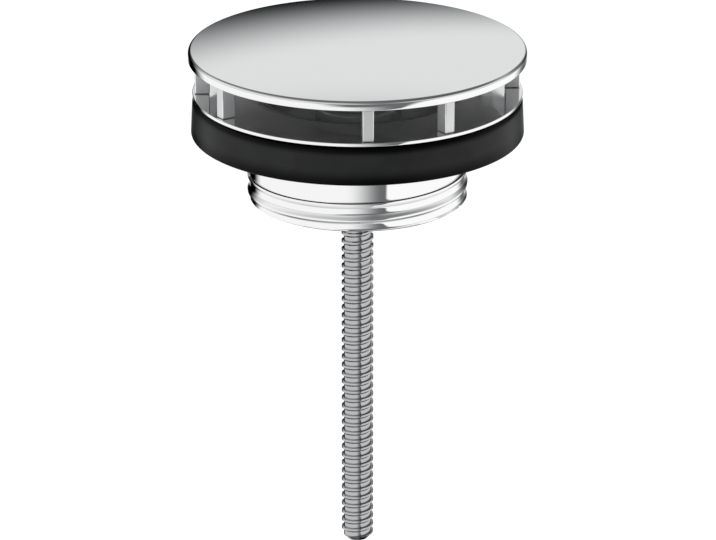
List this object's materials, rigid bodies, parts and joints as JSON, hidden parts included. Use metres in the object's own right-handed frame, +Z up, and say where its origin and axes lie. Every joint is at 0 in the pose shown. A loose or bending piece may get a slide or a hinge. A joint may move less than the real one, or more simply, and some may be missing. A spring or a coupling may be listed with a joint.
{
  "type": "basin drain valve",
  "caption": "Chromed basin drain with a fixed domed cover on posts, pressed flange dish, rubber basin seal, threaded collar and long central clamp screw.",
  "frame": {"origin": "centre of the rubber seal's underside, the plane where the drain sits on the basin", "axes": "+Z up along the clamp screw's axis towards the cover, -Y towards the front of the picture, +X to its right"},
  "size_m": [0.0646, 0.0646, 0.1028],
  "materials": {
    "polished_chrome": "polished",
    "plated_brass": "satin nickel plate",
    "screw_steel": "zinc plated",
    "spring_steel": "plain",
    "seal_rubber": "matte black",
    "ring_rubber": "greased black",
    "insert_plastic": "dark grey satin",
    "retainer_fibre": "red fibre"
  },
  "bodies": {
    "valve_body": {"flange_dish": "polished_chrome", "basin_seal": "seal_rubber", "threaded_collar": "polished_chrome", "bridge": "plated_brass", "bridge_circlip": "spring_steel", "screw_washer": "screw_steel"},
    "seal_rings": {"stem_o_ring_upper": "ring_rubber", "stem_o_ring_lower": "ring_rubber"},
    "cover": {"cover_cap": "polished_chrome", "cover_insert": "insert_plastic", "cover_stem": "insert_plastic", "stem_screw": "screw_steel", "cover_post_1": "polished_chrome", "cover_post_2": "polished_chrome", "cover_post_3": "polished_chrome", "cover_post_4": "polished_chrome", "cover_post_5": "polished_chrome", "cover_post_6": "polished_chrome", "cover_post_7": "polished_chrome", "cover_post_8": "polished_chrome"},
    "screw": {"clamp_screw": "screw_steel", "screw_retainer": "retainer_fibre"}
  },
  "joints": [
    {"name": "cover_lift", "type": "slide", "parent": "valve_body", "child": "seal_rings", "axis": [0, 0, 1], "range_m": [0, 0.012]},
    {"name": "cover_turn", "type": "hinge", "parent": "seal_rings", "child": "cover", "pos_m": [0, 0, 0], "axis": [0, 0, 1], "continuous": true},
    {"name": "screw_turn", "type": "hinge", "parent": "valve_body", "child": "screw", "pos_m": [0, 0, 0], "axis": [0, 0, 1], "continuous": true}
  ]
}
